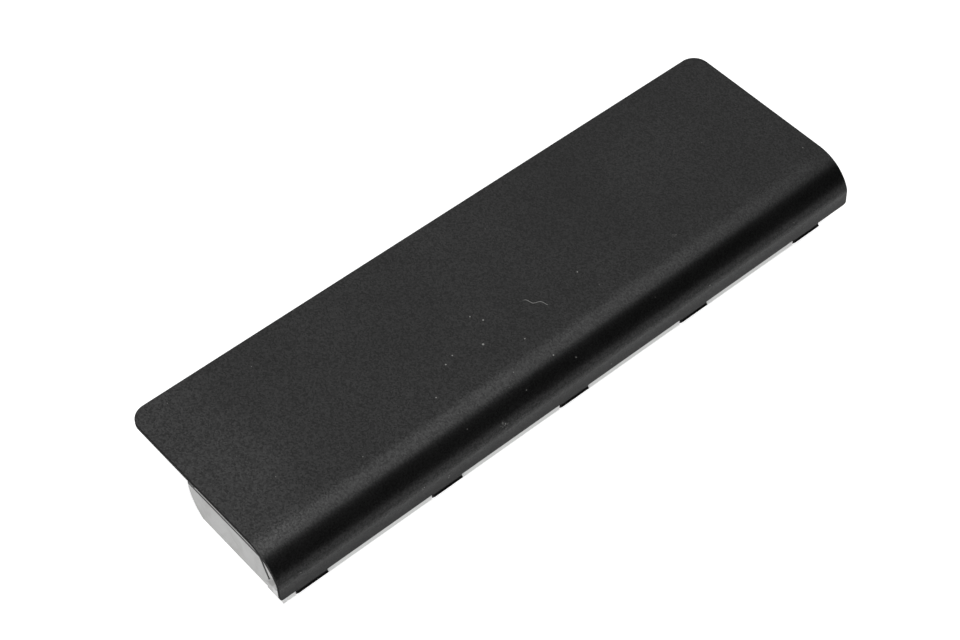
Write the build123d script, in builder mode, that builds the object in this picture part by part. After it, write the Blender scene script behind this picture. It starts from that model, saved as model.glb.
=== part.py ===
from build123d import *
import os
from math import asin, atan2, cos, degrees, radians, sin, tan

os.makedirs("parts", exist_ok=True)

# Removable six-cell laptop battery, in millimetres.
# X runs along the pack, -Y is the rolled front side, +Z is up through the black cover.
# The origin lies on the resting plane, under the middle of the cover.

# Cells: two rows of round cells, laid end to end along X, positive ends towards +X
cell_diameter = 18.3
cell_length = 65.0
cells_per_row = 3
row_pitch = 20.0
cell_gap = 0.25
terminal_diameter = 9.0
rim_inner_diameter = 12.0
terminal_recess = 1.2
bead_from_end = 5.5
bead_radius = 0.9
can_round = 0.8

# Nickel strips, rings and pads at the ends of the cells
strip_wall = 0.2
strip_height = 8.0
strip_reach = 5.0
strip_round = 2.0
tongue_width = 5.0
link_width = 0.9
ring_wall = 0.2
ring_edge = 0.4
pad_wall = 0.4
pad_margin = 2.0

# Grey case halves
case_wall = 1.1
floor_wall = 1.0
rear_gap = 0.6
rear_round = 13.1
part_above_axis = 1.8
part_low = 3.4
step_back = 0.1
step_front = 3.9
seam_gap = 0.45
seam_lip = 0.75
case_edge = 0.4
bond_gap = 0.15
lip_ear_reach = 1.3
lip_ear_gap = 0.2
rail_top = 8.6
spine_width = 11.0
spine_wall = 0.9
keel_width = 1.0
keel_gap = 0.3
key_length = 8.4
key_depth = 1.9

# Ribs inside the tray
rib_wall = 1.0
valley_rib_half = 7.0
valley_rib_top = 5.0
valley_rib_from_end = (7.0, 19.0)
rear_rib_from_axis = 4.5
wire_slot = 2.4

# Black cover
cover_wall = 0.8
roll_radius = 12.8
roll_turn = 68.0
roll_behind_axis = 1.2
bend_radius = 4.0
front_lean = 3.0
front_low = 6.5
end_overhang = 2.55
back_overhang = 21.2
cover_corner = 5.0
cover_edge = 0.2
wall_corner = 1.0
edge_lip_wall = 1.0
edge_lip_depth = 0.5
edge_lip_reach = 8.0
flange_rib_count = 9
flange_rib_wall = 0.8
flange_rib_height = 1.0
flange_rib_inset = 2.5
flange_rib_margin = 9.0
catch_spread = 120.0
catch_length = 10.0
catch_wall = 1.3
catch_height = 4.2
catch_window = (6.0, 1.6)
catch_from_back = 4.0

# Snap hooks along the front wall, with a sloping toe in front and a barb behind
hook_count = 5
hook_length = 9.75
hook_margin = 2.9
hook_inset = 0.5
hook_root = 1.4
hook_depth = 1.8
toe_drop = 1.2
toe_reach = 0.42
barb_reach = 1.1
barb_height = 0.7
barb_ease = 0.1
hook_gap = 0.15
hook_side_gap = 0.25

# Circuit board and what is soldered on it: length along X, width, height
board_width = 11.0
board_wall = 0.8
board_past_link = 20.0
board_corner = 1.0
chip_gap = 1.3
chip_edge = 0.15
gauge_chip_size = (7.8, 4.4, 1.1)
guard_chip_size = (3.0, 3.0, 1.0)
transistor_size = (5.0, 4.0, 1.5)
transistor_pitch = 6.0
fuse_size = (6.0, 4.0, 1.2)
resistor_size = (6.3, 3.2, 0.7)
capacitor_size = (1.6, 0.8, 0.8)
capacitor_pitch = 2.5
capacitor_rows = 6.8
bead_diameter = 2.2
bead_height = 3.2
bead_leg = 0.5
bead_leg_pitch = 1.2

# Leads and thermal cut-off
wire_diameter = 1.6
bare_diameter = 0.9
bare_length = 4.0
tongue_bare = 1.5
cutoff_size = (10.0, 4.2, 1.6)
cutoff_from_board = 2.0
cutoff_leg = (5.0, 3.0, 0.2)
cutoff_edge = 0.4

# Connector receptacle, slots open downwards
contact_count = 8
contact_pitch = 3.4
connector_cheek = 1.4
connector_width = 6.0
connector_height = 4.0
ear_length = 1.8
ear_wall = 1.0
connector_gap = 0.2
slot_width = 1.2
slot_length = 4.2
slot_depth = 3.0
leaf_wall = 0.3
leaf_length = 3.4
leaf_setback = 0.5
tail_width = 0.9
tail_reach = 1.5
tail_inside = 0.8
tail_gap = 0.05

# Heights that follow from the cells and the walls
cell_radius = cell_diameter / 2
clear_radius = cell_radius + cell_gap
axis_height = floor_wall + clear_radius
plate_under = axis_height + clear_radius
pack_height = plate_under + cover_wall
part_high = axis_height + part_above_axis
cell_height = floor_wall + cell_radius
board_top = floor_wall + board_wall
pad_height = strip_height + 2 * pad_margin
keel_depth = plate_under - cell_height - pad_height / 2 - keel_gap

# Lengths along X
stack_length = cells_per_row * cell_length + (cells_per_row - 1) * link_width + 2 * strip_wall
inside_length = stack_length + 2 * pad_wall
box_length = inside_length + 2 * case_wall
pack_length = box_length + 2 * end_overhang
first_cell = strip_wall - stack_length / 2
cell_starts = [first_cell + i * (cell_length + link_width) for i in range(cells_per_row)]
link_starts = [start + cell_length for start in cell_starts[:-1]]

# Places on the board, counted from the first and the last link
link_left = link_starts[0]
link_right = link_starts[-1] + link_width
board_start = link_left - board_past_link
board_end = link_right + board_past_link
resistor_x = link_left - chip_gap - resistor_size[0] / 2
thermistor_x = resistor_x - resistor_size[0] / 2 - chip_gap - bead_diameter / 2
transistor_x = link_left + link_width + chip_gap + transistor_size[0] / 2
transistor_end = transistor_x + transistor_pitch + transistor_size[0] / 2
gauge_chip_x = transistor_end + chip_gap + gauge_chip_size[0] / 2
connector_length = contact_count * contact_pitch + 2 * connector_cheek
connector_start = gauge_chip_x + gauge_chip_size[0] / 2 + chip_gap + ear_length
connector_x = connector_start + connector_length / 2
fuse_x = link_right + chip_gap + fuse_size[0] / 2
guard_chip_x = fuse_x + fuse_size[0] / 2 + chip_gap + guard_chip_size[0] / 2

# Depths along Y: the roll starts behind the front row, and a tighter bend takes it into the leaning wall
lean = radians(front_lean)
turn = radians(roll_turn)
wall_top = pack_height - roll_radius * (1 - cos(turn)) - bend_radius * (cos(turn) - sin(lean))
bend_reach = roll_radius * sin(turn) + bend_radius * (cos(lean) - sin(turn))
roll_reach = bend_reach + (wall_top - front_low) * tan(lean)
front_reach = roll_reach - roll_behind_axis
rear_reach = cell_radius + rear_gap + case_wall
pack_depth = front_reach + row_pitch + rear_reach + back_overhang
front_y = -pack_depth / 2
back_y = pack_depth / 2
roll_y = front_y + roll_reach
front_axis = front_y + front_reach
rear_axis = front_axis + row_pitch
row_axes = {"front": front_axis, "rear": rear_axis}
valley_y = (front_axis + rear_axis) / 2
rear_face = rear_axis + rear_reach
rear_centre = rear_face - rear_round
seam_slope = atan2(part_high - part_low, step_back + step_front)


def on_lean(inset, height):
    """Point of the section at a height, this far inside the outer face of the leaning front wall."""
    return (front_y + (height - front_low) * tan(lean) + inset / cos(lean), height)


def save(builder, name):
    builder.part.label = name
    export_step(builder.part, f"parts/{name}.step")


def draw_tray(inset, trim):
    """Section of the lower case, set in from its outside: round nose, flat floor, round rear, step."""
    nose = axis_height - inset
    rear = rear_round - inset
    low = part_low - trim
    high = part_high - trim
    shift = trim * tan(seam_slope / 2)
    nose_turn = degrees(asin((axis_height - low) / nose))
    rear_turn = degrees(asin(nose / rear))
    with BuildLine() as outline:
        nose_arc = CenterArc((front_axis, axis_height), nose, 180 + nose_turn, 90 - nose_turn)
        rear_arc = CenterArc((rear_centre, axis_height), rear, -rear_turn, rear_turn)
        Line(nose_arc @ 1, rear_arc @ 0)
        Polyline(
            rear_arc @ 1,
            (rear_centre + rear, high),
            (front_axis + step_back + shift, high),
            (front_axis - step_front + shift, low),
            nose_arc @ 0,
        )
    make_face(outline.edges())


def draw_cavity():
    """Section of the hollow in the lower case, open upwards."""
    rear = rear_round - case_wall
    nose_turn = degrees(asin((axis_height - part_low) / clear_radius))
    rear_turn = degrees(asin(clear_radius / rear))
    with BuildLine() as outline:
        nose_arc = CenterArc((front_axis, axis_height), clear_radius, 180 + nose_turn, 90 - nose_turn)
        rear_arc = CenterArc((rear_centre, axis_height), rear, -rear_turn, rear_turn)
        Line(nose_arc @ 1, rear_arc @ 0)
        Polyline(
            rear_arc @ 1,
            (rear_centre + rear, plate_under),
            ((nose_arc @ 0).X, plate_under),
            nose_arc @ 0,
        )
    make_face(outline.edges())


def clear_cells():
    """Takes the room of both rows of cells out of a section."""
    with Locations((front_axis, axis_height), (rear_axis, axis_height)):
        Circle(clear_radius, mode=Mode.SUBTRACT)


def draw_strip(foot):
    """Outline of a welded strip across both rows, with a tongue down the valley to a given height."""
    with Locations((valley_y, cell_height)):
        RectangleRounded(row_pitch + 2 * strip_reach, strip_height, strip_round)
    with Locations((valley_y, (foot + cell_height) / 2)):
        Rectangle(tongue_width, cell_height - foot)


def add_block(size, centre_x):
    """A chip of a given length, width and height, standing on the middle line of the board."""
    with Locations((centre_x, valley_y, board_top)):
        Box(*size, align=(Align.CENTER, Align.CENTER, Align.MIN))


# Hooks: where each one starts along X, and the corner behind each one where its barb springs
hook_pitch = (box_length - hook_margin - key_length - hook_length) / (hook_count - 1)
hook_starts = [hook_margin - box_length / 2 + i * hook_pitch for i in range(hook_count)]
hook_top = front_low + hook_root
barb_top = part_low - hook_gap
barb_root = (front_y + hook_depth, barb_top)

# Top cover: one thin skin, flat and then rolled over the front row of cells
with BuildPart() as top_cover:
    with BuildSketch(Plane.YZ.offset(-pack_length / 2)):
        with BuildLine():
            plate_line = Line((back_y, pack_height), (roll_y, pack_height))
            roll_line = JernArc(plate_line @ 1, (-1, 0), roll_radius, roll_turn)
            bend_line = JernArc(roll_line @ 1, roll_line % 1, bend_radius, 90 - front_lean - roll_turn)
            Line(bend_line @ 1, on_lean(0, front_low))
            offset(amount=cover_wall, side=Side.LEFT)
        make_face()
    extrude(amount=pack_length)
    back_corners = top_cover.edges().filter_by(Axis.Z).group_by(Axis.Y)[-1]
    fillet(back_corners, cover_corner)
    wall_foot = top_cover.faces().sort_by(Axis.Z)[0]
    fillet(wall_foot.edges().sort_by(SortBy.LENGTH)[:2], wall_corner)
    plate_face = top_cover.faces().sort_by(Axis.Z)[-1]
    fillet(plate_face.edges().sort_by(Axis.Y)[1:], cover_edge)

    # Edge lip and stiffening ribs under the part of the cover that stands out behind the box
    lip_front = rear_face - edge_lip_reach
    with BuildSketch(Plane.XY.offset(plate_under)) as edge_lip:
        with Locations((0, (lip_front + back_y) / 2)):
            Rectangle(pack_length, back_y - lip_front)
        fillet(edge_lip.vertices().group_by(Axis.Y)[-1], cover_corner)
        offset(amount=-edge_lip_wall, mode=Mode.SUBTRACT)
        with Locations((0, lip_front + edge_lip_wall / 2)):
            Rectangle(pack_length - 2 * edge_lip_wall, edge_lip_wall, mode=Mode.SUBTRACT)
    extrude(amount=-edge_lip_depth)
    rib_front = rear_face + flange_rib_inset
    rib_back = back_y - catch_from_back - flange_rib_inset
    rib_pitch = (pack_length - 2 * flange_rib_margin) / (flange_rib_count - 1)
    with BuildSketch(Plane.XY.offset(plate_under)):
        with Locations((0, (rib_front + rib_back) / 2)):
            with GridLocations(rib_pitch, 0, flange_rib_count, 1):
                Rectangle(flange_rib_wall, rib_back - rib_front)
        with Locations((0, rib_back)):
            Rectangle(pack_length - 2 * flange_rib_margin + flange_rib_wall, flange_rib_wall)
    extrude(amount=-flange_rib_height)

    # Two catches with a window each, for the sliding latch of the computer
    catch_y = back_y - catch_from_back
    with BuildSketch(Plane.XZ.offset(-catch_y)):
        with GridLocations(catch_spread, 0, 2, 1):
            with Locations((0, plate_under - catch_height / 2)):
                Rectangle(catch_length, catch_height)
                Rectangle(*catch_window, mode=Mode.SUBTRACT)
    extrude(amount=catch_wall)

    # Snap hooks: a tab behind the wall, with a sloping toe below it and a barb that catches under the lip
    toe_top = on_lean(hook_inset, front_low - toe_drop)
    barb_y, barb_z = barb_root
    with BuildSketch(*[Plane.YZ.offset(start) for start in hook_starts]):
        with BuildLine():
            Polyline(
                on_lean(hook_inset, hook_top),
                on_lean(cover_wall, hook_top),
                barb_root,
                (barb_y + barb_reach, barb_z),
                (barb_y + barb_reach, barb_z - barb_height),
                (barb_y - barb_ease, barb_z - barb_height),
                (toe_top[0] - toe_reach, toe_top[1] - toe_reach),
                toe_top,
                close=True,
            )
        make_face()
    extrude(amount=hook_length)
save(top_cover, "top_cover")

# Upper case: a frame of two end walls, two rails and a spine, bonded under the cover
with BuildPart() as upper_case:
    wall_inset = cover_wall + bond_gap
    inner_roll = roll_radius - wall_inset
    inner_bend = bend_radius - wall_inset
    with BuildSketch(Plane.YZ.offset(-box_length / 2), Plane.YZ.offset(inside_length / 2)):
        with BuildLine():
            roof_line = Line((rear_face, plate_under), (roll_y, plate_under))
            roof_arc = JernArc(roof_line @ 1, (-1, 0), inner_roll, roll_turn)
            bend_arc = JernArc(roof_arc @ 1, roof_arc % 1, inner_bend, 90 - front_lean - roll_turn)
            Polyline(
                bend_arc @ 1,
                on_lean(wall_inset, part_low),
                (front_axis - step_front, part_low),
                (front_axis + step_back, part_high),
                (rear_face, part_high),
                (rear_face, plate_under),
            )
        make_face()
    extrude(amount=case_wall)
    with BuildSketch(Plane.YZ.offset(-inside_length / 2)):
        with BuildLine():
            Polyline(
                on_lean(wall_inset, rail_top),
                on_lean(wall_inset, part_low),
                (front_axis - step_front, part_low),
                (front_axis - step_front, rail_top),
                close=True,
            )
        make_face()
        with Locations((rear_face - case_wall / 2, (part_high + plate_under) / 2)):
            Rectangle(case_wall, plate_under - part_high)
        with Locations((valley_y, plate_under - spine_wall / 2)):
            Rectangle(spine_width, spine_wall)
        with Locations((valley_y, plate_under - keel_depth / 2)):
            Rectangle(keel_width, keel_depth)
        clear_cells()
    extrude(amount=inside_length)
    for end_face in (upper_case.faces().sort_by(Axis.X)[0], upper_case.faces().sort_by(Axis.X)[-1]):
        fillet(end_face.edges(), case_edge)

    # Ear that carries the lip on past the left end of the box
    lip_ear_top = front_low - lip_ear_gap
    with BuildSketch(Plane.YZ.offset(-box_length / 2 - lip_ear_reach)):
        with BuildLine():
            Polyline(
                on_lean(wall_inset, lip_ear_top),
                on_lean(wall_inset, part_low),
                (front_axis - step_front, part_low),
                (front_axis - step_front, lip_ear_top),
                close=True,
            )
        make_face()
    extrude(amount=lip_ear_reach)

    # Pockets in the lip for the hooks, and the key notch at its right end
    pocket_top = on_lean(cover_wall + hook_gap, hook_top + hook_gap)
    with BuildSketch(*[Plane.YZ.offset(start - hook_side_gap) for start in hook_starts]):
        with BuildLine():
            Polyline(
                pocket_top,
                (barb_y + hook_gap, barb_top),
                (front_y - hook_gap, barb_top),
                (front_y - hook_gap, hook_top + hook_gap),
                close=True,
            )
        make_face()
    extrude(amount=hook_length + 2 * hook_side_gap, mode=Mode.SUBTRACT)
    with BuildSketch(Plane.YZ.offset(box_length / 2 - key_length)):
        with Locations((front_y + key_depth / 2, (part_low + front_low) / 2)):
            Rectangle(key_depth, front_low - part_low)
    extrude(amount=key_length, mode=Mode.SUBTRACT)
save(upper_case, "upper_case")

# Lower case: a tray that follows the cells, with a seam groove below the parting line
with BuildPart() as lower_case:
    with BuildSketch(Plane.YZ.offset(-box_length / 2)):
        draw_tray(0, seam_gap)
    extrude(amount=box_length)
    for end_face in (lower_case.faces().sort_by(Axis.X)[0], lower_case.faces().sort_by(Axis.X)[-1]):
        fillet(end_face.edges(), case_edge)
    with BuildSketch(Plane.YZ.offset(seam_lip - box_length / 2)):
        draw_tray(seam_lip, 0)
    extrude(amount=box_length - 2 * seam_lip)
    with BuildSketch(Plane.YZ.offset(-inside_length / 2)):
        draw_cavity()
    extrude(amount=inside_length, mode=Mode.SUBTRACT)

    # Cradle ribs between the rows, slotted for the leads, and ribs behind the rear row
    rib_ends = [sign * (inside_length / 2 - reach) for sign in (-1, 1) for reach in valley_rib_from_end]
    with BuildSketch(*[Plane.YZ.offset(x - rib_wall / 2) for x in rib_ends]):
        with Locations((valley_y, (floor_wall + valley_rib_top) / 2)):
            Rectangle(2 * valley_rib_half, valley_rib_top - floor_wall)
            Rectangle(wire_slot, valley_rib_top - floor_wall, mode=Mode.SUBTRACT)
        clear_cells()
    extrude(amount=rib_wall)
    cell_quarters = [start + share * cell_length for start in cell_starts for share in (0.25, 0.75)]
    rear_turn = degrees(asin(clear_radius / (rear_round - case_wall)))
    with BuildSketch(*[Plane.YZ.offset(x - rib_wall / 2) for x in cell_quarters]):
        with BuildLine():
            rear_arc = CenterArc((rear_centre, axis_height), rear_round - case_wall, -rear_turn, rear_turn)
            Polyline(rear_arc @ 1, (rear_axis + rear_rib_from_axis, axis_height), rear_arc @ 0)
        make_face()
        clear_cells()
    extrude(amount=rib_wall)

    # Window in the floor for the connector
    with BuildSketch(Plane.XY):
        with Locations((connector_x, valley_y)):
            Rectangle(connector_length + 2 * connector_gap, connector_width + 2 * connector_gap)
    extrude(amount=floor_wall, mode=Mode.SUBTRACT)
save(lower_case, "lower_case")

# Cells: each a sealed can with a rolled bead and a raised positive terminal
for row, row_y in row_axes.items():
    for index, start in enumerate(cell_starts, 1):
        rim = cell_length - ring_wall
        bead_x = cell_length - bead_from_end
        floor_x = cell_length - terminal_recess
        with BuildPart() as cell:
            with BuildSketch(Plane.XY.offset(cell_height).shift_origin((start, row_y, cell_height))):
                with BuildLine():
                    Polyline(
                        (rim, cell_radius - can_round),
                        (rim, rim_inner_diameter / 2),
                        (floor_x, rim_inner_diameter / 2),
                        (floor_x, terminal_diameter / 2),
                        (cell_length, terminal_diameter / 2),
                        (cell_length, 0),
                        (0, 0),
                        (0, cell_radius - can_round),
                    )
                    base_arc = CenterArc((can_round, cell_radius - can_round), can_round, 180, -90)
                    bead_arc = CenterArc((bead_x, cell_radius), bead_radius, 180, 180)
                    rim_arc = CenterArc((rim - can_round, cell_radius - can_round), can_round, 90, -90)
                    Line(base_arc @ 1, bead_arc @ 0)
                    Line(bead_arc @ 1, rim_arc @ 0)
                make_face()
            revolve(axis=Axis((start, row_y, cell_height), (1, 0, 0)))
        save(cell, f"cell_{row}_{index}")

# Insulating rings on the positive ends, around the terminals
with BuildPart() as insulator_rings:
    with BuildSketch(*[Plane.YZ.offset(start + cell_length) for start in cell_starts]):
        with Locations((front_axis, cell_height), (rear_axis, cell_height)):
            Circle(cell_radius - can_round)
            Circle(rim_inner_diameter / 2 - ring_edge, mode=Mode.SUBTRACT)
    extrude(amount=-ring_wall)
save(insulator_rings, "insulator_rings")

# Welded strips: one at each end of the pack, and a folded link between the groups of cells
with BuildPart() as negative_strip:
    with BuildSketch(Plane.YZ.offset(-stack_length / 2)):
        draw_strip(board_top)
    extrude(amount=strip_wall)
save(negative_strip, "negative_strip")

with BuildPart() as positive_strip:
    with BuildSketch(Plane.YZ.offset(stack_length / 2)):
        draw_strip(board_top)
    extrude(amount=-strip_wall)
save(positive_strip, "positive_strip")

for index, start in enumerate(link_starts, 1):
    with BuildPart() as series_link:
        with BuildSketch(Plane.YZ.offset(start), Plane.YZ.offset(start + link_width - strip_wall)):
            draw_strip(board_top)
        extrude(amount=strip_wall)
        with BuildSketch(Plane.XY.offset(board_top)):
            with Locations((start + link_width / 2, valley_y)):
                Rectangle(link_width, tongue_width)
        extrude(amount=strip_wall)
    save(series_link, f"series_link_{index}")

# Insulating pads between the end strips and the end walls
with BuildPart() as end_insulators:
    with BuildSketch(Plane.YZ.offset(-inside_length / 2), Plane.YZ.offset(stack_length / 2)):
        with Locations((valley_y, cell_height)):
            RectangleRounded(row_pitch + 2 * (strip_reach + pad_margin), pad_height, strip_round)
    extrude(amount=pad_wall)
save(end_insulators, "end_insulators")

# Circuit board on the floor of the valley, with a window for the connector
board_middle = (board_start + board_end) / 2
with BuildPart() as protection_board:
    with BuildSketch(Plane.XY.offset(floor_wall)):
        with Locations((board_middle, valley_y)):
            RectangleRounded(board_end - board_start, board_width, board_corner)
        with Locations((connector_x, valley_y)):
            Rectangle(
                connector_length + 2 * connector_gap,
                connector_width + 2 * connector_gap,
                mode=Mode.SUBTRACT,
            )
    extrude(amount=board_wall)
save(protection_board, "protection_board")

# Parts soldered on the board
with BuildPart() as gauge_chip:
    add_block(gauge_chip_size, gauge_chip_x)
    chamfer(gauge_chip.edges().group_by(Axis.Z)[-1], chip_edge)
save(gauge_chip, "gauge_chip")

with BuildPart() as guard_chip:
    add_block(guard_chip_size, guard_chip_x)
    chamfer(guard_chip.edges().group_by(Axis.Z)[-1], chip_edge)
save(guard_chip, "guard_chip")

with BuildPart() as switch_transistors:
    for step in (0, transistor_pitch):
        add_block(transistor_size, transistor_x + step)
    chamfer(switch_transistors.edges().group_by(Axis.Z)[-1], chip_edge)
save(switch_transistors, "switch_transistors")

with BuildPart() as chemical_fuse:
    add_block(fuse_size, fuse_x)
    chamfer(chemical_fuse.edges().group_by(Axis.Z)[-1], chip_edge)
save(chemical_fuse, "chemical_fuse")

with BuildPart() as sense_resistor:
    add_block(resistor_size, resistor_x)
    chamfer(sense_resistor.edges().group_by(Axis.Z)[-1], chip_edge)
save(sense_resistor, "sense_resistor")

with BuildPart() as chip_capacitors:
    with BuildSketch(Plane.XY.offset(board_top)):
        with Locations((gauge_chip_x, valley_y)):
            with GridLocations(capacitor_pitch, capacitor_rows, 3, 2):
                Rectangle(*capacitor_size[:2])
    extrude(amount=capacitor_size[2])
save(chip_capacitors, "chip_capacitors")

# Thermistor: a bead held up between the rows on two wire legs
with BuildPart() as thermistor:
    with BuildSketch(Plane.XY.offset(board_top)):
        with Locations((thermistor_x, valley_y)):
            with GridLocations(bead_leg_pitch, 0, 2, 1):
                Circle(bead_leg / 2)
    extrude(amount=bead_height)
    with Locations((thermistor_x, valley_y, board_top + bead_height)):
        Sphere(bead_diameter / 2)
save(thermistor, "thermistor")

# Thermal cut-off in the positive line, on two flat legs
leg_length, leg_width, leg_wall = cutoff_leg
cutoff_start = board_end + cutoff_from_board
cutoff_end = cutoff_start + cutoff_size[0]
with BuildPart() as thermal_cutoff:
    leg_start = board_end - leg_length
    leg_end = cutoff_end + leg_length
    with BuildSketch(Plane.XY.offset(board_top)):
        with Locations(((leg_start + leg_end) / 2, valley_y)):
            Rectangle(leg_end - leg_start, leg_width)
    extrude(amount=leg_wall)
    with BuildSketch(Plane.YZ.offset(cutoff_start)):
        with Locations((valley_y, floor_wall + cutoff_size[2] / 2)):
            RectangleRounded(cutoff_size[1], cutoff_size[2], cutoff_edge)
    extrude(amount=cutoff_size[0])
save(thermal_cutoff, "thermal_cutoff")

# Leads: bare at both ends, soldered to the tongues of the end strips
with BuildPart() as negative_lead:
    wire_y = (valley_y, board_top + bare_diameter / 2)
    wire_start = first_cell
    wire_end = board_start + bare_length
    with BuildSketch(Plane.YZ.offset(wire_start)):
        with Locations(wire_y):
            Circle(bare_diameter / 2)
    extrude(amount=wire_end - wire_start)
    with BuildSketch(Plane.YZ.offset(wire_start + tongue_bare)):
        with Locations(wire_y):
            Circle(wire_diameter / 2)
    extrude(amount=wire_end - bare_length - wire_start - 2 * tongue_bare)
save(negative_lead, "negative_lead")

with BuildPart() as positive_lead:
    wire_y = (valley_y, board_top + leg_wall + bare_diameter / 2)
    wire_start = cutoff_end + leg_length - bare_length
    wire_end = -first_cell
    with BuildSketch(Plane.YZ.offset(wire_start)):
        with Locations(wire_y):
            Circle(bare_diameter / 2)
    extrude(amount=wire_end - wire_start)
    with BuildSketch(Plane.YZ.offset(wire_start + bare_length + tongue_bare)):
        with Locations(wire_y):
            Circle(wire_diameter / 2)
    extrude(amount=wire_end - wire_start - bare_length - 2 * tongue_bare)
save(positive_lead, "positive_lead")

# Connector: a slotted housing through the floor, with a folded contact in each slot
with BuildPart() as connector_housing:
    with BuildSketch(Plane.XY):
        with Locations((connector_x, valley_y)):
            Rectangle(connector_length, connector_width)
    extrude(amount=connector_height)
    with BuildSketch(Plane.XY.offset(board_top)):
        with Locations((connector_x, valley_y)):
            Rectangle(connector_length + 2 * ear_length, connector_width)
    extrude(amount=ear_wall)
    with BuildSketch(Plane.XY):
        with Locations((connector_x, valley_y)):
            with GridLocations(contact_pitch, 0, contact_count, 1):
                Rectangle(slot_width, slot_length)
    extrude(amount=slot_depth, mode=Mode.SUBTRACT)
    with BuildSketch(Plane.XY.offset(board_top)):
        with Locations((connector_x, valley_y + (slot_length + connector_width) / 4)):
            with GridLocations(contact_pitch, 0, contact_count, 1):
                Rectangle(tail_width + 2 * tail_gap, (connector_width - slot_length) / 2)
    extrude(amount=leaf_wall + tail_gap, mode=Mode.SUBTRACT)
save(connector_housing, "connector_housing")

with BuildPart() as connector_contacts:
    leaf_spread = slot_width - leaf_wall
    tail_start = leaf_length / 2 - tail_inside
    tail_end = connector_width / 2 + tail_reach
    with BuildSketch(Plane.XY.offset(leaf_setback)):
        with Locations((connector_x, valley_y)):
            with GridLocations(contact_pitch, 0, contact_count, 1):
                with GridLocations(leaf_spread, 0, 2, 1):
                    Rectangle(leaf_wall, leaf_length)
    extrude(amount=slot_depth - leaf_setback)
    with BuildSketch(Plane.XY.offset(slot_depth)):
        with Locations((connector_x, valley_y)):
            with GridLocations(contact_pitch, 0, contact_count, 1):
                Rectangle(slot_width, leaf_length)
    extrude(amount=-leaf_wall)
    with BuildSketch(Plane.XY.offset(board_top)):
        with Locations((connector_x, valley_y + (tail_start + tail_end) / 2)):
            with GridLocations(contact_pitch, 0, contact_count, 1):
                Rectangle(tail_width, tail_end - tail_start)
    extrude(amount=leaf_wall)
save(connector_contacts, "connector_contacts")
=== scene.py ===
"""Finishes of a removable laptop battery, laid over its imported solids, with a plain white studio."""

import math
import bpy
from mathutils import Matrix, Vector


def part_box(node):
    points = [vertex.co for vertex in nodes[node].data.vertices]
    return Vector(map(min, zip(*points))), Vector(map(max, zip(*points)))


bl_info = {
    "name": "Laptop Battery Finishes",
    "version": (1, 0, 0),
    "blender": (4, 5, 0),
    "location": "View3D > Sidebar > Battery",
    "description": "Moulded, metal and board finishes for a laptop battery, and a white studio",
    "category": "Material",
}

import bpy
from mathutils import Matrix, Vector

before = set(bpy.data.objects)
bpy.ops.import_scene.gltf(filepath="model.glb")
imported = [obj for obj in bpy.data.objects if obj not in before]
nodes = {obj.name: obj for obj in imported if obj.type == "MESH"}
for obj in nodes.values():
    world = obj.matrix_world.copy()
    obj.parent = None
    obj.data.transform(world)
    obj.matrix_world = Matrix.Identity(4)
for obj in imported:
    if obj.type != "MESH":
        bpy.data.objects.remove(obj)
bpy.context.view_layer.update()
mm = 0.001

# Places that the finishes read from the frame
cover_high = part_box("top_cover")[1]
half_length = cover_high[0]
plate_top = cover_high[2]
cell_names = [name for name in nodes if name.startswith("cell_")]
strip_names = ["negative_strip", "positive_strip", "series_link_1", "series_link_2"]
front_low, front_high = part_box("cell_front_1")
rear_low, rear_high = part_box("cell_rear_1")
cell_radius = (front_high[2] - front_low[2]) / 2
cell_height = (front_high[2] + front_low[2]) / 2
front_axis = (front_high[1] + front_low[1]) / 2
rear_axis = (rear_high[1] + rear_low[1]) / 2
valley = (front_axis + rear_axis) / 2
row_half = (rear_axis - front_axis) / 2

# Slanting stretch of the seam, from its foot to its head over the front row, and the lip before it
seam_forward = 3.9 * mm
seam_backward = 0.1 * mm
seam_rise = 1.8 * mm
lip_reach = 5.8 * mm
lip_fade = 0.6 * mm
case_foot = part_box("upper_case")[0][2]
seam_foot = Vector((0, front_axis - seam_forward, case_foot))
seam_head = Vector((0, front_axis + seam_backward, cell_height + seam_rise))
lip_back = front_axis - lip_reach

# Scuffs and single dots of dust on the cover: centre and reach
cover_scuffs = (
    (Vector((-27.6 * mm, -30.8 * mm, 13.3 * mm)), 2.4 * mm),
    (Vector((-47.2 * mm, -31.5 * mm, 9.2 * mm)), 1.2 * mm),
    (Vector((-55.7 * mm, -31.3 * mm, 11.7 * mm)), 1.2 * mm),
    (Vector((47.0 * mm, -16.4 * mm, plate_top)), 1.8 * mm),
)
cover_dots = (
    (Vector((-17.8 * mm, -11.0 * mm, plate_top)), 0.42 * mm),
    (Vector((-12.3 * mm, -4.7 * mm, plate_top)), 0.34 * mm),
    (Vector((-29.7 * mm, -9.7 * mm, plate_top)), 0.30 * mm),
    (Vector((-26.4 * mm, -8.5 * mm, plate_top)), 0.26 * mm),
    (Vector((-14.2 * mm, -1.5 * mm, plate_top)), 0.26 * mm),
    (Vector((18.2 * mm, -8.7 * mm, plate_top)), 0.26 * mm),
    (Vector((-8.2 * mm, -16.8 * mm, plate_top)), 0.26 * mm),
    (Vector((-38.7 * mm, -16.4 * mm, plate_top)), 0.26 * mm),
    (Vector((-5.4 * mm, -25.1 * mm, 19.2 * mm)), 0.26 * mm),
)


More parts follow.
